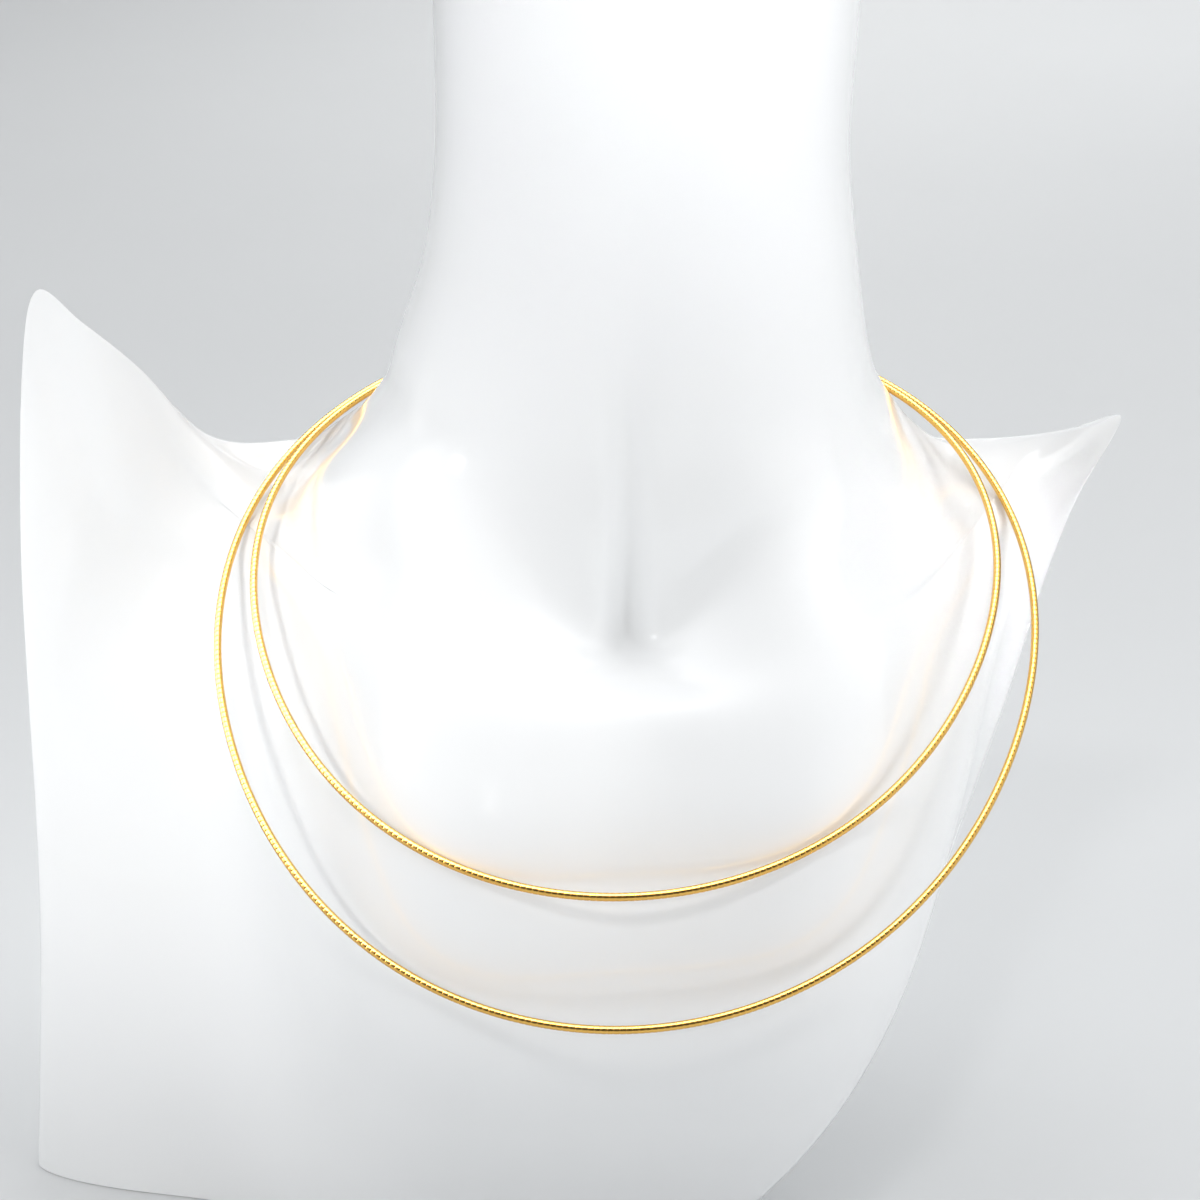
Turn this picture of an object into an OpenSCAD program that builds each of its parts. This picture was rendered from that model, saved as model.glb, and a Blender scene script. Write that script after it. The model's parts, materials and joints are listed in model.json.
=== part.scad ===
// Two-strand omega necklace on a neck bust, in millimetres.
// The origin is on the table, under the axis of the neck. +Z is up and -Y is the front.

/* [Necklace] */
// length of the upper strand all the way round, with the clasp
inner_length = 457.2; // [430:0.1:470]
// length of the lower strand all the way round, with the clasp
outer_length = 508; // [490:0.1:540]
// diameter of each round strand
strand_d = 1.5; // [1:0.1:1.8]
// angle of the upper strand below level, falling to the front
inner_angle = 23.7; // [18:0.1:26]
// angle of the lower strand below level, falling to the front
outer_angle = 30.8; // [27:0.1:36]
// angle by which the necklace is turned about the upright
turn_angle = -2.8; // [-6:0.1:6]
// angle by which the necklace leans to one side
lean_angle = 1.1; // [-4:0.1:4]

/* [Clasp] */
// width of the clasp from end cap to end cap
clasp_width = 12; // [9:0.5:18]
// depth of the bore in each end cap
socket_depth = 2.6; // [1.5:0.1:3.2]
// wall of the end caps round a strand
socket_wall = 0.25; // [0.2:0.05:0.5]
// gap between a strand and its bore
socket_gap = 0.1; // [0.05:0.05:0.2]
// thickness of the floor of each bore
socket_floor = 0.5; // [0.3:0.1:0.8]
// rise of the box of the clasp above its end caps
box_rise = 0.2; // [0.15:0.05:0.5]
// gap between the clasp and the back of the neck
nape_gap = 0.2; // [0.15:0.05:1]

/* [Bust] */
// height of the nape above the table
nape_height = 168; // [140:1:200]
// height of the neck above the nape
neck_height = 90; // [60:1:110]
// width of the neck
neck_width = 80; // [74:1:84]
// depth of the neck from front to back
neck_depth = 80; // [74:1:84]
// reach of the shoulder to the left of the nape
left_reach = 130; // [124:1:150]
// reach of the shoulder to the right of the nape
right_reach = 98; // [94:1:120]
// gap between the chest and the level of the upper strand's front
upper_gap = 2.3; // [2:0.1:6]
// gap between the chest and the level of the lower strand's front
lower_gap = 8; // [6:0.5:14]
// half width of the swell of the chest
swell_width = 66; // [56:1:74]
// depth of the hollow down the middle of the chest
hollow_depth = 2.6; // [0:0.1:5]
// half width of that hollow
hollow_width = 7; // [4:0.5:14]
// half width of the notch at the foot of the throat
notch_width = 24; // [16:1:32]
// half width of the plates beside the throat
plate_width = 48; // [42:1:54]
// radius of the edge round the top of the neck
top_radius = 5; // [2:0.5:10]

/* [Hidden] */
$fn = 48;
strand_sides = 8;
ring_step = 2.9 * strand_d;

// radii of the bores and end caps, half the box's thickness, and the way between the strands
socket_r = strand_d / 2 + socket_gap;
cap_r = socket_r + socket_wall;
half_box = cap_r + box_rise;
step_back = 1.9 * cap_r;
step_up = 0.9 * cap_r;

// the skin of the nape, and the point behind it where the upper strand crosses the clasp
skin_back = neck_depth / 2;
seat = [0, skin_back, nape_height];
nape = seat + [0, half_box + nape_gap, 0];

// directions of the necklace: to its right side and straight back, turned and leaned
level_side = [cos(turn_angle), sin(turn_angle), 0];
side_way = cos(lean_angle) * level_side + [0, 0, sin(lean_angle)];
back_way = [-sin(turn_angle), cos(turn_angle), 0];
up_way = cross(side_way, back_way);

function front_way(fall) = -cos(fall) * back_way - sin(fall) * up_way;

// how a strand departs from a circle: two, three and four waves round it
INNER_FORM = [0, 0.035, -0.008];
OUTER_FORM = [0.008, 0.028, -0.005];

function reach(form, a) =
    1 + form[0] * cos(2 * a) + form[1] * cos(3 * a) + form[2] * cos(4 * a);
function plain_point(form, a) = reach(form, a) * [sin(a), cos(a)];

// round length of a strand of unit radius
function way_round(form) =
    let (points = [for (a = [0:360]) plain_point(form, a)])
    [for (i = [0:359]) norm(points[i + 1] - points[i])] * [for (i = [0:359]) 1];

// a strand as its radius, its form, its fall and its middle point in the clasp
inner = [inner_length / way_round(INNER_FORM), INNER_FORM, inner_angle, nape];
outer = [outer_length / way_round(OUTER_FORM), OUTER_FORM, outer_angle,
    nape + step_back * back_way + step_up * up_way];

// a point of a strand, at an angle from its front, and the way along it
function on_strand(strand, a) =
    let (flat = strand[0] * (plain_point(strand[1], a) - plain_point(strand[1], 180)))
    strand[3] + flat[0] * side_way + flat[1] * front_way(strand[2]);
// how far the front of a strand lies in front of the skin of the nape
function front_reach(strand) = seat[1] - on_strand(strand, 0)[1];
function along(strand, a) =
    let (way = on_strand(strand, a + 0.5) - on_strand(strand, a - 0.5)) way / norm(way);

// the angle that a distance along the strand takes at its clasp
function angle_for(strand, distance) =
    let (one = norm(on_strand(strand, 180) - on_strand(strand, 179)))
    distance / one;

// bust table: each row is a closed hoop, from the table up
LEFT = 0;
RIGHT = 1;
ENDS = 2;
WING = 3;
SWELL = 4;
BACK = 5;
LEFT_Z = 6;
RIGHT_Z = 7;
FRONT_Z = 8;
BACK_Z = 9;
POINT = 10;
HOLLOW = 11;
SPREAD = 12;
NOTCH = 13;
PLATE = 14;

// left and right reach; ends, wing, swell and back, counted forwards from the skin of the nape;
// heights at the left, right, front and back; how pointed the ends are; depth and spread of the
// hollow; how deep the notch is, and how high the plates beside it. All but the point are shares
// of the sizes that rows names.
FOOT = [
    [0.995, 0.225, 0.488, 0.112, 0.188, 0.035, -1.000, -1.000, -1.000, -1.000, 0.1, 0, 1, 0, 0],
    [0.980, 0.395, 0.468, 0.102, 0.275, 0.004, -0.863, -0.863, -0.863, -0.863, 0.1, 0, 1, 0, 0],
    [0.968, 0.540, 0.427, 0.094, 0.400, -0.026, -0.715, -0.715, -0.715, -0.715, 0.1, 0, 1, 0, 0],
    [0.963, 0.680, 0.381, 0.087, 0.518, -0.057, -0.548, -0.548, -0.571, -0.560, 0.15, 0.1, 1.5, 0, 0],
    [0.963, 0.785, 0.340, 0.078, 0.580, -0.083, -0.380, -0.380, -0.440, -0.405, 0.2, 0.3, 1.8, 0, 0],
    [0.958, 0.852, 0.303, 0.071, 0.611, -0.083, -0.190, -0.244, -0.351, -0.280, 0.2, 0.6, 1.8, 0, 0],
];
SHOULDER = [
    [0.935, 0.918, 0.271, 0.055, 0.632, -0.057, 0.05, -0.28, -0.60, -0.46, 0.25, 0.8, 1.8, 0, 0],
    [0.908, 1.003, 0.239, 0.047, 0.627, -0.035, 0.24, -0.09, -0.49, -0.37, 0.3, 1.1, 1.7, 0, 0],
    [0.848, 0.949, 0.218, 0.048, 0.599, -0.011, 0.15, -0.12, -0.41, -0.32, 0.3, 1.5, 1.5, 0.02, 0.02],
];
YOKE = [
    [1.240, 1.063, 0.175, 0.055, 0.573, -0.003, 0.00, -0.17, -0.35, -0.28, 0.3, 1.8, 1.2, 0.11, 0.07],
    [1.105, 0.947, 0.150, 0.190, 0.420, 0.001, -0.19, -0.21, -0.36, -0.25, 0.2, 2.0, 0.8, 0.21, 0.19],
    [0.940, 0.823, 0.139, 0.350, 0.225, 0.004, -0.29, -0.22, -0.33, -0.22, 0.1, 2.0, 0.6, 0.29, 0.27],
    [0.786, 0.718, 0.154, 0.490, 0.045, 0.004, -0.20, -0.15, -0.11, -0.13, 0.05, 1.6, 0.5, 0.23, 0.08],
    [0.639, 0.620, 0.195, 0.440, 0.038, 0.001, -0.022, -0.011, 0.022, -0.024, 0, 1.1, 0.5, 0.143, 0],
];
NECK = [
    [0.585, 0.570, 0.420, 0.590, 0.020, 0.001, 0.133, 0.133, 0.133, 0.111, 0, 0.8, 0.5, 0.06, 0],
    [0.508, 0.530, 0.469, 0.525, 0.006, 0.012, 0.345, 0.345, 0.345, 0.345, 0, 0.3, 0.8, 0.01, 0],
    [0.475, 0.500, 0.482, 0.500, 0.000, 0.019, 0.578, 0.578, 0.578, 0.578, 0, 0, 1, 0, 0],
    [0.470, 0.508, 0.482, 0.512, 0.000, 0.007, 0.833, 0.833, 0.833, 0.833, 0, 0, 1, 0, 0],
    [0.470, 0.512, 0.482, 0.525, 0.000, 0.001, 1.000, 1.000, 1.000, 1.000, 0, 0, 1, 0, 0],
];

// how far the lift of the shoulder ends reaches along a hoop, and how square the swell is
LEFT_LIFT = 16;
RIGHT_LIFT = 5;
SWELL_SQUARE = 4.5;
SWELL_MIDDLE = -1;
HOLLOW_MIDDLE = -2;

// points round a hoop, how far they crowd towards its front, back and ends, and hoops a row
around = 84;
crowding = 7;
hoops_a_row = 2;
top_steps = 3;

// a table row in millimetres: its widths, depths and heights take these three sizes
function in_mm(row, left, right, depth, height) = [
    -row[LEFT] * left, row[RIGHT] * right,
    -row[ENDS] * depth, row[WING] * depth, row[SWELL] * depth, -row[BACK] * depth,
    row[LEFT_Z] * height, row[RIGHT_Z] * height, row[FRONT_Z] * height, row[BACK_Z] * height,
    row[POINT], row[HOLLOW] * hollow_depth, row[SPREAD] * hollow_width, row[NOTCH] * height,
    row[PLATE] * height,
];

// the chest and yoke follow the necklace that they carry
chest_depth = min(front_reach(inner) - upper_gap, front_reach(outer) - lower_gap);
yoke_reach = outer[0];
yoke_drop = nape_height - on_strand(outer, 0)[2];
rows = concat(
    [for (row = FOOT) in_mm(row, left_reach, right_reach, chest_depth, nape_height)],
    [for (row = SHOULDER) in_mm(row, left_reach, right_reach, chest_depth, yoke_drop)],
    [for (row = YOKE) in_mm(row, yoke_reach, yoke_reach, chest_depth, yoke_drop)],
    [for (row = NECK) in_mm(row, neck_width, neck_width, neck_depth, neck_height)]
);

// a smooth curve through four values, at share u of the way between the middle two
function smooth(a, b, c, d, u) =
    b + u * (c - a) / 2 + u * u * (a - 2.5 * b + 2 * c - d / 2)
    + u * u * u * (1.5 * (b - c) + (d - a) / 2);

last_row = len(rows) - 1;
fine_rows = concat(
    [for (i = [0:last_row - 1], k = [0:hoops_a_row - 1])
        smooth(rows[max(i - 1, 0)], rows[i], rows[i + 1], rows[min(i + 2, last_row)],
            k / hoops_a_row)],
    [rows[last_row]]
);

function swell(x) = exp(-pow(abs(x - SWELL_MIDDLE) / swell_width, SWELL_SQUARE));
function bell(x, width) = exp(-pow((x - HOLLOW_MIDDLE) / width, 2));
function plate(x) = exp(-pow((x - HOLLOW_MIDDLE) / plate_width, 4));

// a point of a hoop at the share c across and s to the back, drawn in by inset at a top edge
function on_hoop(row, c, s, inset) =
    let (
        half = (row[RIGHT] - row[LEFT]) / 2,
        x = (row[RIGHT] + row[LEFT]) / 2 + (half - inset) * c,
        round_part = abs(s) * pow(abs(s), max(row[POINT], 0)),
        front = row[ENDS] - row[WING] * round_part - row[SWELL] * swell(x) * min(1, 2 * abs(s))
            + row[HOLLOW] * bell(x, row[SPREAD]) + inset * abs(s),
        back = row[ENDS] + (row[BACK] - row[ENDS] - inset) * round_part,
        lift = pow(abs(c), c < 0 ? LEFT_LIFT : RIGHT_LIFT),
        end_z = c < 0 ? row[LEFT_Z] : row[RIGHT_Z],
        front_z = row[FRONT_Z] + row[PLATE] * plate(x) - row[NOTCH] * bell(x, notch_width),
        middle_z = s < 0 ? front_z : row[BACK_Z]
    )
    seat + [x, s < 0 ? front : back, middle_z + (end_z - middle_z) * lift];

function hoop(row, inset, rise) = [
    for (i = [0:around - 1])
        let (turn = i * 360 / around, a = turn - crowding * sin(4 * turn))
        on_hoop(row, cos(a), sin(a), inset) + [0, 0, rise]
];

// the rounded top edge: the last row drawn in and raised along a quarter circle
top_hoops = [for (k = [1:top_steps])
    let (a = 90 * k / top_steps)
    hoop(rows[last_row], top_radius * (1 - cos(a)), top_radius * (sin(a) - 1))];

body_rows = [for (row = fine_rows) if (row[FRONT_Z] < neck_height - top_radius * 1.2) row];
hoops = concat(
    [for (row = body_rows) hoop(row, 0, 0)],
    [hoop(rows[last_row], 0, -top_radius)],
    top_hoops
);

// a closed skin through a stack of equal rings, with flat ends
module skin(rings) {
    sides = len(rings[0]);
    last = len(rings) - 1;
    walls = [for (i = [0:last - 1], j = [0:sides - 1], half = [0, 1])
        let (a = i * sides + j, b = i * sides + (j + 1) % sides)
        half == 0 ? [a, a + sides, b] : [b, a + sides, b + sides]];
    ends = [[for (j = [0:sides - 1]) j], [for (j = [sides - 1:-1:0]) last * sides + j]];
    polyhedron([for (ring = rings) each ring], concat(walls, ends), convexity = 10);
}

module omega_strand(strand) {
    hidden = clasp_width / 2 - socket_depth + socket_gap;
    reach_a = 180 - angle_for(strand, hidden);
    count = 2 * ceil(strand[0] * PI * reach_a / 180 / ring_step);
    rings = [for (i = [0:count])
        let (
            a = -reach_a + 2 * reach_a * i / count,
            middle = on_strand(strand, a),
            flat_way = cross(side_way, front_way(strand[2])),
            out_way = cross(along(strand, a), flat_way)
        )
        [for (j = [0:strand_sides - 1])
            let (b = 360 * j / strand_sides)
            middle + strand_d / 2 * (cos(b) * out_way - sin(b) * flat_way)]];
    skin(rings);
}

// turns +Z to a direction
module facing(way) {
    tilt = acos(way[2] / norm(way));
    spin = atan2(way[1], way[0]);
    rotate([0, tilt, spin])
        children();
}

// one end cap of the clasp: it follows its strand, and its bore opens outwards
module end_cap(strand, side) {
    a = 180 - angle_for(strand, clasp_width / 2 - socket_depth / 2);
    root = 2 * socket_floor;
    translate(on_strand(strand, side * a))
        facing(-side * along(strand, side * a))
            translate([0, 0, -socket_depth / 2])
                difference() {
                    translate([0, 0, -root])
                        cylinder(r = cap_r, h = root + socket_depth);
                    cylinder(r = socket_r, h = socket_depth + 1);
                }
}

// the box between the end caps, which holds both strands side by side
module clasp_box() {
    box_width = clasp_width - 2 * socket_depth - 2 * socket_floor;
    translate((inner[3] + outer[3]) / 2)
        rotate([0, -lean_angle, turn_angle])
            cube([box_width, step_back + 2 * half_box, step_up + 2 * half_box], center = true);
}

module strand_inner()
    color([0.85, 0.62, 0.2])
        omega_strand(inner);

module strand_outer()
    color([0.85, 0.62, 0.2])
        omega_strand(outer);

module clasp()
    color([0.85, 0.62, 0.2])
        union() {
            clasp_box();
            for (strand = [inner, outer], side = [-1, 1])
                end_cap(strand, side);
        }

module neck_bust()
    color([0.95, 0.95, 0.94])
        skin(hoops);

neck_bust();
strand_inner();
strand_outer();
clasp();
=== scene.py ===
"""A two-strand omega necklace on a glossy white neck bust, in metres, in the frame of its CAD."""
import json
import math

import bpy
import numpy as np
from bpy.props import FloatProperty, FloatVectorProperty, IntProperty, PointerProperty
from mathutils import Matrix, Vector

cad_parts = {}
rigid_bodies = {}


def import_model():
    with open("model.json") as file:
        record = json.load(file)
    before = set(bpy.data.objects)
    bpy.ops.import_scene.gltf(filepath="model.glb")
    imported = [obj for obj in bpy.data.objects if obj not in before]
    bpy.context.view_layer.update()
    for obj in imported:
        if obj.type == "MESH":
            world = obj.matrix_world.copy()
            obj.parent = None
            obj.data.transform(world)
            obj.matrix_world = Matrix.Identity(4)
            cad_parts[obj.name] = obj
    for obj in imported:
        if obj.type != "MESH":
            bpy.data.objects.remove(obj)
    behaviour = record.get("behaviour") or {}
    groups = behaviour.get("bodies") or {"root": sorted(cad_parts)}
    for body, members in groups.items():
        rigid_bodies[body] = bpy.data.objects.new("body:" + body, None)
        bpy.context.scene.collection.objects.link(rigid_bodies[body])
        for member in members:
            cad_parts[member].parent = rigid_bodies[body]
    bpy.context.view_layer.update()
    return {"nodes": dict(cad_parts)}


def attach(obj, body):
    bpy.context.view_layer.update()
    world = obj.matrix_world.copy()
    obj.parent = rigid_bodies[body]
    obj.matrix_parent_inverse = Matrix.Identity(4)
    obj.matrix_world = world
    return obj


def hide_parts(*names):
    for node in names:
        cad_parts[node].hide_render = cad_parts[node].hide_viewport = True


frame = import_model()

bl_info = {
    "name": "Omega Necklace on Neck Bust",
    "version": (1, 0, 0),
    "blender": (4, 5, 0),
    "location": "3D View > Sidebar > Necklace",
    "description": "Builds a two-strand omega necklace on its neck bust, with a plain stage",
    "category": "Object",
}

MM = 0.001
BODY = "root"

# Columns of the bust's table: each row is a closed hoop, from the table up
(LEFT, RIGHT, ENDS, WING, SWELL, BACK, LEFT_Z, RIGHT_Z, FRONT_Z, BACK_Z, POINT, HOLLOW, SPREAD,
 NOTCH, PLATE) = range(15)

# Left and right reach; ends, wing, swell and back, counted forwards from the skin of the nape;
# heights at the left, right, front and back; how pointed the ends are; depth and spread of the
# hollow; how deep the notch is, and how high the plates beside it. All but the point are shares
# of the sizes that bust_rows names.
FOOT = (
    (0.995, 0.225, 0.488, 0.112, 0.188, 0.035, -1.000, -1.000, -1.000, -1.000, 0.1, 0, 1, 0, 0),
    (0.980, 0.395, 0.468, 0.102, 0.275, 0.004, -0.863, -0.863, -0.863, -0.863, 0.1, 0, 1, 0, 0),
    (0.968, 0.540, 0.427, 0.094, 0.400, -0.026, -0.715, -0.715, -0.715, -0.715, 0.1, 0, 1, 0, 0),
    (0.963, 0.680, 0.381, 0.087, 0.518, -0.057, -0.548, -0.548, -0.571, -0.560, 0.15, 0.1, 1.5, 0, 0),
    (0.963, 0.785, 0.340, 0.078, 0.580, -0.083, -0.380, -0.380, -0.440, -0.405, 0.2, 0.3, 1.8, 0, 0),
    (0.958, 0.852, 0.303, 0.071, 0.611, -0.083, -0.190, -0.244, -0.351, -0.280, 0.2, 0.6, 1.8, 0, 0),
)
SHOULDER = (
    (0.935, 0.918, 0.271, 0.055, 0.632, -0.057, 0.05, -0.28, -0.60, -0.46, 0.25, 0.8, 1.8, 0, 0),
    (0.908, 1.003, 0.239, 0.047, 0.627, -0.035, 0.24, -0.09, -0.49, -0.37, 0.3, 1.1, 1.7, 0, 0),
    (0.848, 0.949, 0.218, 0.048, 0.599, -0.011, 0.15, -0.12, -0.41, -0.32, 0.3, 1.5, 1.5, 0.02, 0.02),
)
YOKE = (
    (1.240, 1.063, 0.175, 0.055, 0.573, -0.003, 0.00, -0.17, -0.35, -0.28, 0.3, 1.8, 1.2, 0.11, 0.07),
    (1.105, 0.947, 0.150, 0.190, 0.420, 0.001, -0.19, -0.21, -0.36, -0.25, 0.2, 2.0, 0.8, 0.21, 0.19),
    (0.940, 0.823, 0.139, 0.350, 0.225, 0.004, -0.29, -0.22, -0.33, -0.22, 0.1, 2.0, 0.6, 0.29, 0.27),
    (0.786, 0.718, 0.154, 0.490, 0.045, 0.004, -0.20, -0.15, -0.11, -0.13, 0.05, 1.6, 0.5, 0.23, 0.08),
    (0.639, 0.620, 0.195, 0.440, 0.038, 0.001, -0.022, -0.011, 0.022, -0.024, 0, 1.1, 0.5, 0.143, 0),
)
NECK = (
    (0.585, 0.570, 0.420, 0.590, 0.020, 0.001, 0.133, 0.133, 0.133, 0.111, 0, 0.8, 0.5, 0.06, 0),
    (0.508, 0.530, 0.469, 0.525, 0.006, 0.012, 0.345, 0.345, 0.345, 0.345, 0, 0.3, 0.8, 0.01, 0),
    (0.475, 0.500, 0.482, 0.500, 0.000, 0.019, 0.578, 0.578, 0.578, 0.578, 0, 0, 1, 0, 0),
    (0.470, 0.508, 0.482, 0.512, 0.000, 0.007, 0.833, 0.833, 0.833, 0.833, 0, 0, 1, 0, 0),
    (0.470, 0.512, 0.482, 0.525, 0.000, 0.001, 1.000, 1.000, 1.000, 1.000, 0, 0, 1, 0, 0),
)

# How closely the lift keeps to each shoulder's end along a hoop, and how square the swell is
LEFT_LIFT = 16
RIGHT_LIFT = 5
SWELL_SQUARE = 4.5

# Middles of the swell and of the hollow, counted to the right of the nape
SWELL_MIDDLE = -1 * MM
HOLLOW_MIDDLE = -2 * MM

# How far the points of a hoop crowd toward its ends, front and back
CROWDING = math.radians(7)

# Steps round the neck's top edge; how far under the top the table's hoops end, in top radii; and
# the angle from which an edge shades as a sharp one
TOP_STEPS = 8
TOP_ROOM = 1.2
SHARP_EDGE = math.radians(50)

# Waves by which each strand departs from a circle: two, three and four round it
INNER_FORM = (0.0, 0.035, -0.008)
OUTER_FORM = (0.008, 0.028, -0.005)

# Where the lower strand's middle lies from the upper one's, in end cap radii
LOWER_BACK = 1.9
LOWER_UP = 0.9

# Angles at which a strand's way is measured, and the small turn that gives its direction
WAY_ANGLES = 3601
SMALL_TURN = 0.001

# A link's outline: share of its length, and share of the strand's radius
LINK_OUTLINE = ((0.0, 0.9), (0.07, 0.98), (0.25, 1.0), (0.75, 1.0), (0.93, 0.98))
LINK_SIDES = 20

# The middle of the chest, which most lights face, and the lights: place, target, width, height,
# share of the key power, whether polish mirrors it, and spread in degrees
CHEST = (0.0, -0.05, 0.13)
LIGHT_COLOUR = (1.0, 0.995, 0.985)
LIGHTS = {
    "key": ((-0.08, -0.44, 0.65), CHEST, 0.06, 0.06, 1.4, False, 180),
    "left": ((-0.85, -0.17, 0.45), CHEST, 0.1, 0.2, 0.8, True, 180),
    "right": ((0.75, -0.5, 0.3), CHEST, 0.12, 0.4, 2.6, False, 180),
    "fill": ((0.0, -0.7, 0.1), CHEST, 0.8, 0.3, 1.3, False, 180),
    "rear": ((0.6, 0.1, 0.6), CHEST, 0.3, 0.3, 2.0, False, 180),
    "neck": ((0.0, -0.6, 0.45), (0.01, -0.03, 0.275), 0.14, 0.1, 0.05, False, 16),
    "side": ((-0.3, -0.6, 0.5), (-0.1, 0.0, 0.11), 0.14, 0.1, 0.09, False, 20),
    "shoulder": ((0.5, -0.5, 0.45), (0.09, -0.02, 0.14), 0.04, 0.06, 0.012, False, 10),
    "backdrop": ((0.35, 1.25, 0.8), (0.25, 1.4, 0.1), 1.2, 0.5, 12.0, False, 180),
}

# Panels that light only the gold: place, target, width, height and area
PANELS = {
    "top panel": ((-0.25, 0.08, 1.1), (-0.25, 0.08, 0.0), 1.3, 1.05, 1.37),
    "left panel": ((-1.0, 0.25, 0.5), CHEST, 1.0, 0.8, 0.8),
}

# The surround: its colour; directions to the camera's side and to the far side; and its glow
# there and where the camera sees it past the floor, as shares of the glow setting
SURROUND_COLOUR = (0.985, 0.993, 1.0, 1.0)
NEAR_SIDE = (0.0, -0.92, 0.39)
FAR_SIDE = (0.0, 0.96, 0.29)
NEAR_GLOW = 0.1
FAR_GLOW = 2.5
SHOWN_GLOW = 0.66

# The sweep: half its width, its near edge, where it starts to rise, its bend, its height, the
# degrees in a step of the bend, and how far it lies under the foot
SWEEP_HALF_WIDTH = 12.0
SWEEP_NEAR = -12.0
SWEEP_FAR = 1.1
SWEEP_BEND = 0.5
SWEEP_HEIGHT = 2.6
SWEEP_STEP = 6
SWEEP_DROP = 0.2 * MM

# The camera's place, and the width of its sensor in millimetres
CAMERA_PLACE = (-0.0069, -0.4449, 0.3323)
SENSOR_WIDTH = 36.0


def size(name, description, default):
    """A length in metres."""
    return FloatProperty(name=name, description=description, default=default, unit="LENGTH",
                         min=0.0, precision=4)


def angle(name, description, degrees):
    """An angle, given in degrees."""
    return FloatProperty(name=name, description=description, default=math.radians(degrees),
                         subtype="ANGLE")


def colour(name, description, default):
    """A colour."""
    return FloatVectorProperty(name=name, description=description, default=default,
                               subtype="COLOR", size=3, min=0.0, max=1.0)


class StrandSettings(bpy.types.PropertyGroup):
    """Both strands and their clasp."""
    inner_length: size("Upper length", "Upper strand round the neck, with the clasp", 0.4572)
    outer_length: size("Lower length", "Lower strand round the neck, with the clasp", 0.508)
    thickness: size("Thickness", "Diameter of each strand", 0.0015)
    link: size("Link", "Length of one link", 0.00112)
    inner_fall: angle("Upper fall", "Fall of the upper strand to the front", 23.7)
    outer_fall: angle("Lower fall", "Fall of the lower strand to the front", 30.8)
    turn: angle("Turn", "Turn of the necklace about the upright", -2.8)
    lean: angle("Lean", "Lean of the necklace to one side", 1.1)
    clasp_width: size("Clasp width", "From end cap to end cap", 0.012)
    socket_depth: size("Socket depth", "Depth of each end cap's bore", 0.0026)
    socket_gap: size("Socket gap", "Gap between a strand and its bore", 0.0001)
    socket_wall: size("Socket wall", "Wall of an end cap", 0.00025)
    box_rise: size("Box rise", "Rise of the clasp's box above its end caps", 0.0002)
    nape_gap: size("Nape gap", "Gap between the clasp and the neck", 0.0002)
    gold: colour("Gold", "Colour of the polished gold", (0.88, 0.54, 0.145))


class BustSettings(bpy.types.PropertyGroup):
    """The neck bust."""
    nape_height: size("Nape height", "Height of the nape above the table", 0.168)
    neck_height: size("Neck height", "Height of the neck above the nape", 0.09)
    neck_width: size("Neck width", "Width of the neck", 0.08)
    neck_depth: size("Neck depth", "Depth of the neck from front to back", 0.08)
    left_reach: size("Left reach", "Reach of the left shoulder from the nape", 0.13)
    right_reach: size("Right reach", "Reach of the right shoulder from the nape", 0.098)
    upper_gap: size("Upper gap", "Chest to the level of the upper strand's front", 0.0023)
    lower_gap: size("Lower gap", "Chest to the level of the lower strand's front", 0.008)
    swell_width: size("Swell width", "Half width of the swell of the chest", 0.066)
    hollow_depth: size("Hollow depth", "Depth of the hollow down the chest", 0.0026)
    hollow_width: size("Hollow width", "Half width of that hollow", 0.007)
    notch_width: size("Notch width", "Half width of the notch under the throat", 0.024)
    plate_width: size("Plate width", "Half width of the plates beside the throat", 0.048)
    top_radius: size("Top radius", "Radius round the top of the neck", 0.005)
    white: colour("White", "Colour of the glossy white", (0.86, 0.87, 0.88))
    around: IntProperty(name="Points", description="Points round a hoop", default=252, min=24)
    hoops_a_row: IntProperty(name="Hoops", description="Hoops for each row", default=9, min=1)


class StageSettings(bpy.types.PropertyGroup):
    """Floor, light and camera."""
    floor: colour("Floor", "Colour of the pale floor", (0.63, 0.642, 0.652))
    tilt: angle("Camera tilt", "How far the camera looks down", 25)
    lens: FloatProperty(name="Lens", description="Focal length in millimetres", default=72.0,
                        unit="CAMERA")
    key_power: FloatProperty(name="Key", description="Power that the lights take their shares of",
                             default=0.5, unit="POWER", min=0.0)
    panel_power: FloatProperty(name="Panels", description="Power of the panels per square metre",
                               default=18.0, unit="POWER", min=0.0)
    glow: FloatProperty(name="Glow", description="Brightness of the surround", default=1.0, min=0.0)


# Numbers that follow from the settings

def seat():
    """The skin of the nape."""
    bust = bpy.context.scene.necklace_bust
    return Vector((0, bust.neck_depth / 2, bust.nape_height))


def cap_radius():
    """Outer radius of an end cap."""
    s = bpy.context.scene.necklace_strands
    return s.thickness / 2 + s.socket_gap + s.socket_wall


def half_box():
    """Half the thickness of the clasp's box over one strand."""
    return cap_radius() + bpy.context.scene.necklace_strands.box_rise


def directions():
    """To the necklace's right side, straight back and up, turned and leaned."""
    s = bpy.context.scene.necklace_strands
    level = Vector((math.cos(s.turn), math.sin(s.turn), 0))
    side = math.cos(s.lean) * level + Vector((0, 0, math.sin(s.lean)))
    back = Vector((-math.sin(s.turn), math.cos(s.turn), 0))
    return side, back, side.cross(back)


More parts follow.
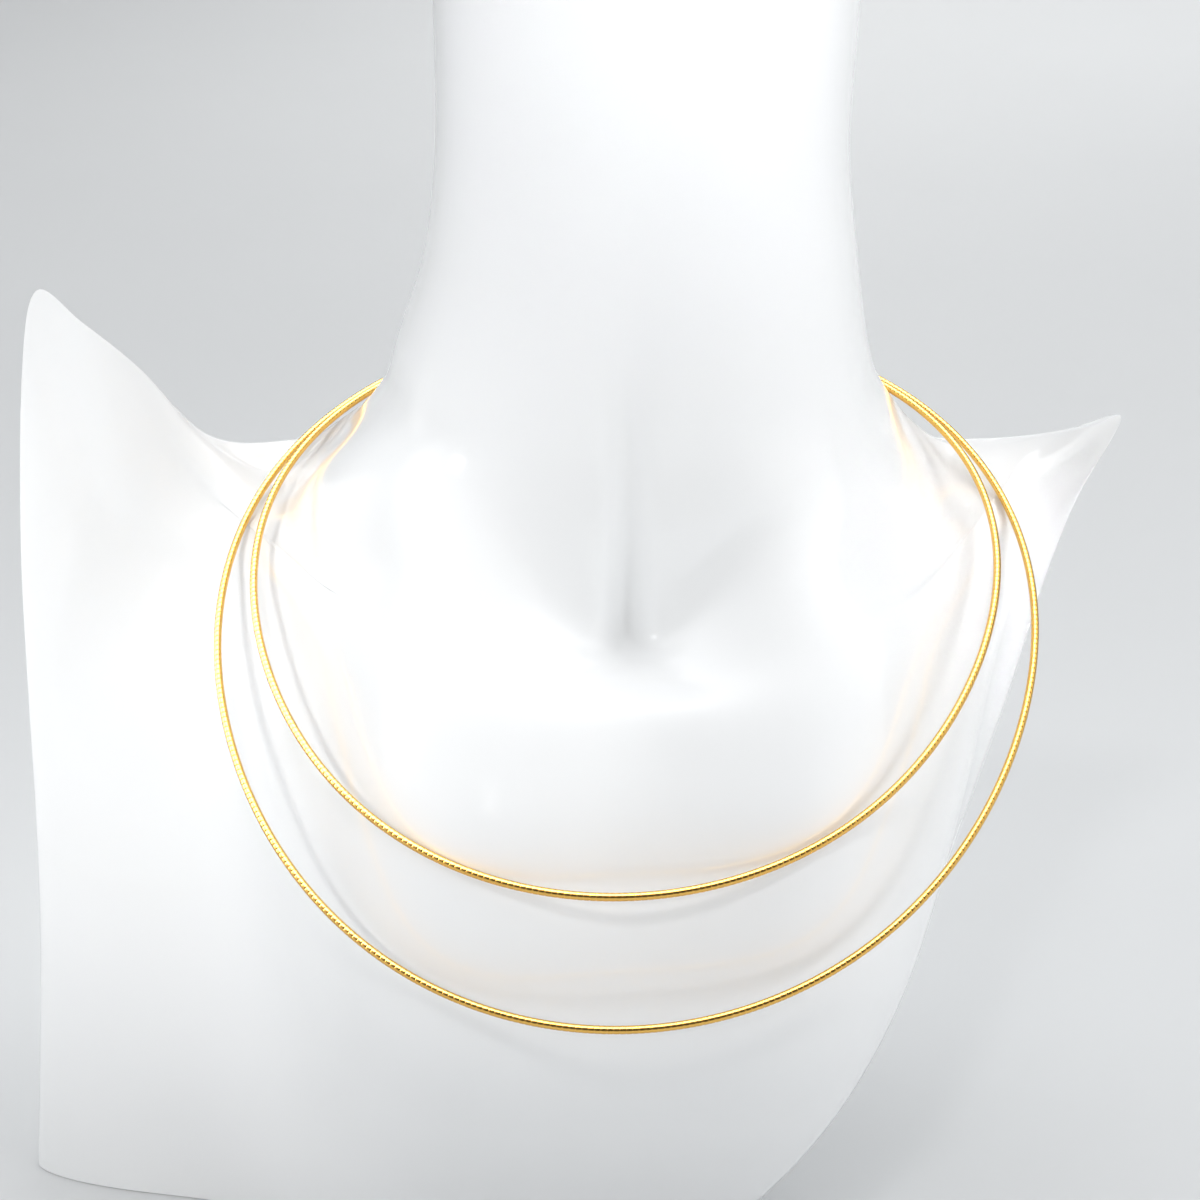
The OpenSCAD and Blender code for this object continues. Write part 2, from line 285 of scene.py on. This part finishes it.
class Strand:
    """One closed loop in a plane, from its middle in the clasp round the front and back."""

    def __init__(self, length, form, fall, middle):
        side, back, up = directions()
        self.form = form
        self.side = np.array(side)
        self.front = np.array(-math.cos(fall) * back - math.sin(fall) * up)
        self.flat = np.cross(self.side, self.front)
        self.middle = np.array(middle)
        fine = np.radians(np.linspace(-180, 180, WAY_ANGLES))
        unit = self.plain(fine)
        steps = np.linalg.norm(np.diff(unit, axis=0), axis=1)
        self.radius = length / steps.sum()
        self.fine = fine
        self.way = np.concatenate(([0], np.cumsum(steps))) * self.radius
        self.length = length

    def plain(self, a):
        """The loop of unit radius about its centre, at angles from its front."""
        two, three, four = self.form
        reach = 1 + two * np.cos(2 * a) + three * np.cos(3 * a) + four * np.cos(4 * a)
        return np.stack([reach * np.sin(a), reach * np.cos(a)], axis=-1)

    def at(self, distance):
        """Points and directions at distances along the strand, from the clasp's middle."""
        a = np.interp(distance, self.way, self.fine)
        nape = self.plain(np.array([math.pi]))[0]
        flat = self.radius * (self.plain(a) - nape)
        ahead = self.plain(a + SMALL_TURN) - self.plain(a - SMALL_TURN)
        ahead /= np.linalg.norm(ahead, axis=1, keepdims=True)
        points = self.middle + flat[:, :1] * self.side + flat[:, 1:] * self.front
        return points, ahead[:, :1] * self.side + ahead[:, 1:] * self.front

    def front_point(self):
        """The middle of the strand's front."""
        return self.at(np.array([self.length / 2]))[0][0]

    def front_reach(self):
        """How far that point lies in front of the skin of the nape."""
        return seat().y - self.front_point()[1]


def strands():
    """The upper and the lower strand."""
    s = bpy.context.scene.necklace_strands
    _, back, up = directions()
    nape = seat() + Vector((0, half_box() + s.nape_gap, 0))
    below = nape + LOWER_BACK * cap_radius() * back + LOWER_UP * cap_radius() * up
    return (Strand(s.inner_length, INNER_FORM, s.inner_fall, nape),
            Strand(s.outer_length, OUTER_FORM, s.outer_fall, below))


# Mesh code

def make_piece(name, points, faces, material):
    """A smoothly shaded mesh object of one material."""
    mesh = bpy.data.meshes.new(name)
    mesh.from_pydata([tuple(p) for p in points], [], faces)
    mesh.materials.append(material)
    mesh.polygons.foreach_set("use_smooth", [True] * len(mesh.polygons))
    mesh.update()
    piece = bpy.data.objects.new(name, mesh)
    bpy.context.scene.collection.objects.link(piece)
    return piece


def closed_skin(rings, sides):
    """Four-sided faces between rings of points, listed ring by ring, and a face over each end."""
    faces = []
    for i in range(rings - 1):
        low = i * sides
        for j in range(sides):
            k = (j + 1) % sides
            faces.append((low + j, low + k, low + sides + k, low + sides + j))
    last = (rings - 1) * sides
    faces.append(tuple(range(sides - 1, -1, -1)))
    faces.append(tuple(range(last, last + sides)))
    return faces


def circles(centres, across, along, radii, sides):
    """Circles of points round centres, one for each radius."""
    turn = np.linspace(0, 2 * np.pi, sides, endpoint=False)
    spokes = (np.cos(turn)[None, :, None] * across[:, None, :]
              + np.sin(turn)[None, :, None] * along[:, None, :])
    return centres[:, None, :] + radii[:, None, None] * spokes


# Bust

def in_metres(rows, left, right, depth, height, bust):
    """Rows of a table as lengths."""
    return [(-row[LEFT] * left, row[RIGHT] * right,
             -row[ENDS] * depth, row[WING] * depth, row[SWELL] * depth, -row[BACK] * depth,
             row[LEFT_Z] * height, row[RIGHT_Z] * height,
             row[FRONT_Z] * height, row[BACK_Z] * height,
             row[POINT], row[HOLLOW] * bust.hollow_depth, row[SPREAD] * bust.hollow_width,
             row[NOTCH] * height, row[PLATE] * height) for row in rows]


def bust_rows(bust):
    """All rows as lengths: the chest and yoke follow the necklace that they carry."""
    inner, outer = strands()
    depth = min(inner.front_reach() - bust.upper_gap, outer.front_reach() - bust.lower_gap)
    drop = bust.nape_height - outer.front_point()[2]
    reach = outer.radius
    return (in_metres(FOOT, bust.left_reach, bust.right_reach, depth, bust.nape_height, bust)
            + in_metres(SHOULDER, bust.left_reach, bust.right_reach, depth, drop, bust)
            + in_metres(YOKE, reach, reach, depth, drop, bust)
            + in_metres(NECK, bust.neck_width, bust.neck_width, bust.neck_depth,
                        bust.neck_height, bust))


def smooth_rows(rows, steps):
    """Rows on smooth curves through the table's rows."""
    rows = np.array(rows)
    last = len(rows) - 1
    fine = []
    for i in range(last):
        a, b, c, d = rows[max(i - 1, 0)], rows[i], rows[i + 1], rows[min(i + 2, last)]
        for k in range(steps):
            u = k / steps
            fine.append(b + u * (c - a) / 2 + u * u * (a - 2.5 * b + 2 * c - d / 2)
                        + u ** 3 * (1.5 * (b - c) + (d - a) / 2))
    fine.append(rows[last])
    return fine


def hoop(row, bust, inset=0.0, rise=0.0):
    """The points of one closed hoop, drawn in by inset and raised."""
    turn = np.linspace(0, 2 * np.pi, bust.around, endpoint=False)
    a = turn - CROWDING * np.sin(4 * turn)
    c, s = np.cos(a), np.sin(a)
    x = (row[RIGHT] + row[LEFT]) / 2 + ((row[RIGHT] - row[LEFT]) / 2 - inset) * c
    inward = np.abs(s) + 1e-9
    round_part = inward ** (1 + max(row[POINT], 0))
    swell = np.exp(-(np.abs(x - SWELL_MIDDLE) / bust.swell_width) ** SWELL_SQUARE)
    hollow = np.exp(-((x - HOLLOW_MIDDLE) / row[SPREAD]) ** 2)
    notch = np.exp(-((x - HOLLOW_MIDDLE) / bust.notch_width) ** 2)
    plate = np.exp(-((x - HOLLOW_MIDDLE) / bust.plate_width) ** 4)
    front = (row[ENDS] - row[WING] * round_part - row[SWELL] * swell * np.minimum(1, 2 * inward)
             + row[HOLLOW] * hollow + inset * inward)
    back = row[ENDS] + (row[BACK] - row[ENDS] - inset) * round_part
    lift = np.abs(c) ** np.where(c < 0, LEFT_LIFT, RIGHT_LIFT)
    end_z = np.where(c < 0, row[LEFT_Z], row[RIGHT_Z])
    front_z = row[FRONT_Z] + row[PLATE] * plate - row[NOTCH] * notch
    middle_z = np.where(s < 0, front_z, row[BACK_Z])
    z = middle_z + (end_z - middle_z) * lift + rise
    return np.stack([x, np.where(s < 0, front, back), z], axis=1) + np.array(seat())


def bust_hoops(bust):
    """Hoops from the foot to the rounded top of the neck."""
    rows = bust_rows(bust)
    fine = smooth_rows(rows, bust.hoops_a_row)
    top = bust.neck_height - TOP_ROOM * bust.top_radius
    hoops = [hoop(row, bust) for row in fine if row[FRONT_Z] < top]
    for k in range(TOP_STEPS + 1):
        a = math.radians(90 * k / TOP_STEPS)
        hoops.append(hoop(rows[-1], bust, bust.top_radius * (1 - math.cos(a)),
                          bust.top_radius * (math.sin(a) - 1)))
    return hoops


# Materials

def new_material(name):
    """A material with its node tree and its shader."""
    material = bpy.data.materials.new(name)
    material.use_nodes = True
    tree = material.node_tree
    shader = tree.nodes["Principled BSDF"]
    return material, tree, shader


def noise(tree, scale, detail):
    """Noise over the object's own coordinates."""
    place = tree.nodes.new("ShaderNodeTexCoord")
    node = tree.nodes.new("ShaderNodeTexNoise")
    node.inputs["Scale"].default_value = scale
    node.inputs["Detail"].default_value = detail
    tree.links.new(place.outputs["Object"], node.inputs["Vector"])
    return node.outputs["Fac"]


def between(tree, fac, low, high):
    """A number that runs from low to high as noise runs over the middle of its range."""
    node = tree.nodes.new("ShaderNodeMapRange")
    node.inputs["From Min"].default_value = 0.3
    node.inputs["From Max"].default_value = 0.7
    node.inputs["To Min"].default_value = low
    node.inputs["To Max"].default_value = high
    tree.links.new(fac, node.inputs["Value"])
    return node.outputs["Result"]


def mixed(tree, fac, low, high):
    """A colour between two colours."""
    node = tree.nodes.new("ShaderNodeMix")
    node.data_type = "RGBA"
    node.inputs["A"].default_value = (*low, 1)
    node.inputs["B"].default_value = (*high, 1)
    tree.links.new(fac, node.inputs["Factor"])
    return node.outputs["Result"]


def bumped(tree, shader, height, strength, distance):
    """Joins a height to the shader's normal."""
    node = tree.nodes.new("ShaderNodeBump")
    node.inputs["Strength"].default_value = strength
    node.inputs["Distance"].default_value = distance
    tree.links.new(height, node.inputs["Height"])
    tree.links.new(node.outputs["Normal"], shader.inputs["Normal"])


def white_gloss(white):
    """Glossy white moulding, with faint unevenness in tone, polish and surface."""
    material, tree, shader = new_material("bust_white")
    tone = noise(tree, scale=14, detail=4)
    low = tuple(0.965 * c for c in white)
    tree.links.new(mixed(tree, tone, low, white), shader.inputs["Base Color"])
    polish = noise(tree, scale=30, detail=5)
    tree.links.new(between(tree, polish, low=0.10, high=0.18), shader.inputs["Roughness"])
    shader.inputs["IOR"].default_value = 1.5
    shader.inputs["Coat Weight"].default_value = 0.3
    shader.inputs["Coat Roughness"].default_value = 0.05
    bumped(tree, shader, noise(tree, scale=38, detail=2), strength=0.12, distance=0.4 * MM)
    return material


def polished_gold(name, gold, scale, deep):
    """Polished yellow gold with fine rubbing marks."""
    material, tree, shader = new_material(name)
    shade = tuple(c * s for c, s in zip(gold, deep))
    tone = noise(tree, scale, detail=4)
    tree.links.new(mixed(tree, tone, shade, gold), shader.inputs["Base Color"])
    polish = noise(tree, scale * 3, detail=5)
    tree.links.new(between(tree, polish, low=0.14, high=0.26), shader.inputs["Roughness"])
    shader.inputs["Metallic"].default_value = 1.0
    marks = noise(tree, scale * 6, detail=3)
    bumped(tree, shader, marks, strength=0.15, distance=0.03 * MM)
    return material


def pale_matt(name, tone):
    """Matt backdrop paper."""
    material, tree, shader = new_material(name)
    low = tuple(0.97 * c for c in tone)
    patches = noise(tree, scale=6, detail=3)
    tree.links.new(mixed(tree, patches, low, tone), shader.inputs["Base Color"])
    shader.inputs["Roughness"].default_value = 0.75
    return material


# Lights and surround

def toward(tree, direction, start, end, low, high):
    """A number that runs smoothly from low to high as the view turns toward a direction."""
    place = tree.nodes.new("ShaderNodeTexCoord")
    turn = tree.nodes.new("ShaderNodeVectorMath")
    turn.operation = "DOT_PRODUCT"
    turn.inputs[1].default_value = direction
    tree.links.new(place.outputs["Generated"], turn.inputs[0])
    ramp = tree.nodes.new("ShaderNodeMapRange")
    ramp.interpolation_type = "SMOOTHSTEP"
    for name, value in zip(("From Min", "From Max", "To Min", "To Max"), (start, end, low, high)):
        ramp.inputs[name].default_value = value
    tree.links.new(turn.outputs["Value"], ramp.inputs["Value"])
    return ramp.outputs["Result"]


def surround(stage):
    """A white surround, brighter behind, and dark where the camera stands.

    Where it shows past the floor it is an even pale grey, as the floor is.
    """
    world = bpy.data.worlds.new("surround")
    world.use_nodes = True
    tree = world.node_tree
    glow = stage.glow
    total = tree.nodes.new("ShaderNodeMath")
    total.operation = "ADD"
    front = toward(tree, NEAR_SIDE, start=0.3, end=0.92, low=glow, high=NEAR_GLOW * glow)
    behind = toward(tree, FAR_SIDE, start=0.0, end=1.0, low=0.0, high=FAR_GLOW * glow)
    tree.links.new(front, total.inputs[0])
    tree.links.new(behind, total.inputs[1])
    ray = tree.nodes.new("ShaderNodeLightPath")
    shown = tree.nodes.new("ShaderNodeMix")
    shown.inputs["B"].default_value = SHOWN_GLOW * glow
    tree.links.new(ray.outputs["Is Camera Ray"], shown.inputs["Factor"])
    tree.links.new(total.outputs["Value"], shown.inputs["A"])
    shade = tree.nodes["Background"]
    shade.inputs["Color"].default_value = SURROUND_COLOUR
    tree.links.new(shown.outputs["Result"], shade.inputs["Strength"])
    return world


def add_area(name, place, target, width, height, power, shine=True, spread=180, only=None):
    """A soft rectangular light that faces a target, for all pieces or only a collection.

    Without shine, polish doesn't mirror it.
    """
    light = bpy.data.lights.new(name, "AREA")
    light.shape = "RECTANGLE"
    light.size = width
    light.size_y = height
    light.energy = power
    light.color = LIGHT_COLOUR
    light.spread = math.radians(spread)
    lamp = bpy.data.objects.new(name, light)
    lamp.location = place
    lamp.rotation_euler = (Vector(target) - Vector(place)).to_track_quat("-Z", "Y").to_euler()
    lamp.visible_glossy = shine
    lamp.light_linking.receiver_collection = only
    lamp.visible_camera = False
    bpy.context.scene.collection.objects.link(lamp)


# Operators

class NECKLACE_OT_bust(bpy.types.Operator):
    """Builds the neck bust"""
    bl_idname = "necklace.add_bust"
    bl_label = "Add Neck Bust"

    def execute(self, context):
        bust = context.scene.necklace_bust
        hoops = bust_hoops(bust)
        faces = closed_skin(len(hoops), bust.around)
        piece = make_piece("bust_shell", np.concatenate(hoops), faces,
                           white_gloss(tuple(bust.white)))
        piece.data.set_sharp_from_angle(angle=SHARP_EDGE)
        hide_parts("neck_bust")
        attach(piece, BODY)
        return {"FINISHED"}


class NECKLACE_OT_strands(bpy.types.Operator):
    """Builds both omega strands, link by link"""
    bl_idname = "necklace.add_strands"
    bl_label = "Add Omega Strands"

    def execute(self, context):
        s = context.scene.necklace_strands
        gold = polished_gold("omega_gold", tuple(s.gold), scale=900, deep=(0.93, 0.86, 0.7))
        for name, strand in zip(("inner", "outer"), strands()):
            self.add_strand(s, name, strand, gold)
        return {"FINISHED"}

    def add_strand(self, s, name, strand, gold):
        """One strand of turned links, each narrower at its ends."""
        start = s.clasp_width / 2 - s.socket_depth + s.socket_gap
        run = strand.length - 2 * start
        links = round(run / s.link)
        shares = np.array([i + share for i in range(links) for share, _ in LINK_OUTLINE]
                          + [links]) / links
        radii = np.array([r for _ in range(links) for _, r in LINK_OUTLINE]
                         + [LINK_OUTLINE[0][1]]) * s.thickness / 2
        points, along = strand.at(start + shares * run)
        flat = np.broadcast_to(strand.flat, along.shape)
        rings = circles(points, np.cross(flat, along), flat, radii, LINK_SIDES)
        faces = closed_skin(len(radii), LINK_SIDES)
        piece = make_piece(f"omega_strand_{name}", rings.reshape(-1, 3), faces, gold)
        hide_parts(f"strand_{name}")
        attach(piece, BODY)


class NECKLACE_OT_clasp(bpy.types.Operator):
    """Finishes the clasp in polished gold"""
    bl_idname = "necklace.finish_clasp"
    bl_label = "Finish Clasp"

    def execute(self, context):
        s = context.scene.necklace_strands
        clasp = frame["nodes"]["clasp"]
        clasp.data.materials.clear()
        clasp.data.materials.append(
            polished_gold("clasp_gold", tuple(s.gold), scale=500, deep=(0.95, 0.9, 0.8)))
        return {"FINISHED"}


class NECKLACE_OT_stage(bpy.types.Operator):
    """Adds the floor, the backdrop, the lights and the camera"""
    bl_idname = "necklace.add_stage"
    bl_label = "Add Stage"

    def execute(self, context):
        stage = context.scene.necklace_stage
        self.add_sweep(stage)
        self.add_lights(stage)
        self.add_camera(context, stage)
        context.scene.view_settings.view_transform = "Standard"
        return {"FINISHED"}

    def add_sweep(self, stage):
        """A floor that curves up into a backdrop."""
        profile = [(SWEEP_NEAR, 0.0)]
        for degrees in range(0, 90 + SWEEP_STEP, SWEEP_STEP):
            a = math.radians(degrees)
            profile.append((SWEEP_FAR + SWEEP_BEND * math.sin(a), SWEEP_BEND * (1 - math.cos(a))))
        profile.append((SWEEP_FAR + SWEEP_BEND, SWEEP_HEIGHT))
        points = [(x, y, z - SWEEP_DROP) for y, z in profile
                  for x in (-SWEEP_HALF_WIDTH, SWEEP_HALF_WIDTH)]
        faces = [(2 * i, 2 * i + 1, 2 * i + 3, 2 * i + 2) for i in range(len(profile) - 1)]
        sweep = make_piece("floor", points, faces, pale_matt("floor", tuple(stage.floor)))

    def add_lights(self, stage):
        """Lights for all pieces, panels that light only the gold, and the surround."""
        for name, (place, target, width, height, share, shine, spread) in LIGHTS.items():
            add_area(name, place, target, width, height, share * stage.key_power, shine, spread)
        gold = bpy.data.collections.new("gold")
        for piece in bpy.context.scene.objects:
            if piece.name.startswith("omega_strand") or piece == frame["nodes"]["clasp"]:
                gold.objects.link(piece)
        for name, (place, target, width, height, area) in PANELS.items():
            add_area(name, place, target, width, height, area * stage.panel_power, only=gold)
        bpy.context.scene.world = surround(stage)

    def add_camera(self, context, stage):
        """The camera at the photograph's angle."""
        data = bpy.data.cameras.new("camera")
        data.lens = stage.lens
        data.sensor_width = SENSOR_WIDTH
        camera = bpy.data.objects.new("camera", data)
        camera.location = CAMERA_PLACE
        camera.rotation_euler = (math.pi / 2 - stage.tilt, 0, 0)
        context.scene.collection.objects.link(camera)
        context.scene.camera = camera


class NECKLACE_PT_panel(bpy.types.Panel):
    """Lists the sizes, colours and steps"""
    bl_idname = "NECKLACE_PT_panel"
    bl_label = "Necklace"
    bl_space_type = "VIEW_3D"
    bl_region_type = "UI"
    bl_category = "Necklace"

    def draw(self, context):
        layout = self.layout
        for name in SETTINGS:
            settings = getattr(context.scene, name)
            box = layout.box()
            for key in settings.bl_rna.properties.keys():
                if key not in {"rna_type", "name"}:
                    box.prop(settings, key)
        for operator in OPERATORS:
            layout.operator(operator.bl_idname)


SETTINGS = {
    "necklace_strands": StrandSettings,
    "necklace_bust": BustSettings,
    "necklace_stage": StageSettings,
}
OPERATORS = (NECKLACE_OT_bust, NECKLACE_OT_strands, NECKLACE_OT_clasp, NECKLACE_OT_stage)


def register():
    """Registers the classes and puts the settings on the scene."""
    for name, settings in SETTINGS.items():
        bpy.utils.register_class(settings)
        setattr(bpy.types.Scene, name, PointerProperty(type=settings))
    for item in (*OPERATORS, NECKLACE_PT_panel):
        bpy.utils.register_class(item)


def unregister():
    """Takes the settings and classes away again."""
    for item in reversed((*OPERATORS, NECKLACE_PT_panel)):
        bpy.utils.unregister_class(item)
    for name, settings in reversed(SETTINGS.items()):
        delattr(bpy.types.Scene, name)
        bpy.utils.unregister_class(settings)


def main():
    """Builds the dressed part on its stage."""
    register()
    bpy.ops.necklace.add_bust()
    bpy.ops.necklace.add_strands()
    bpy.ops.necklace.finish_clasp()
    bpy.ops.necklace.add_stage()


if __name__ == "__main__":
    main()
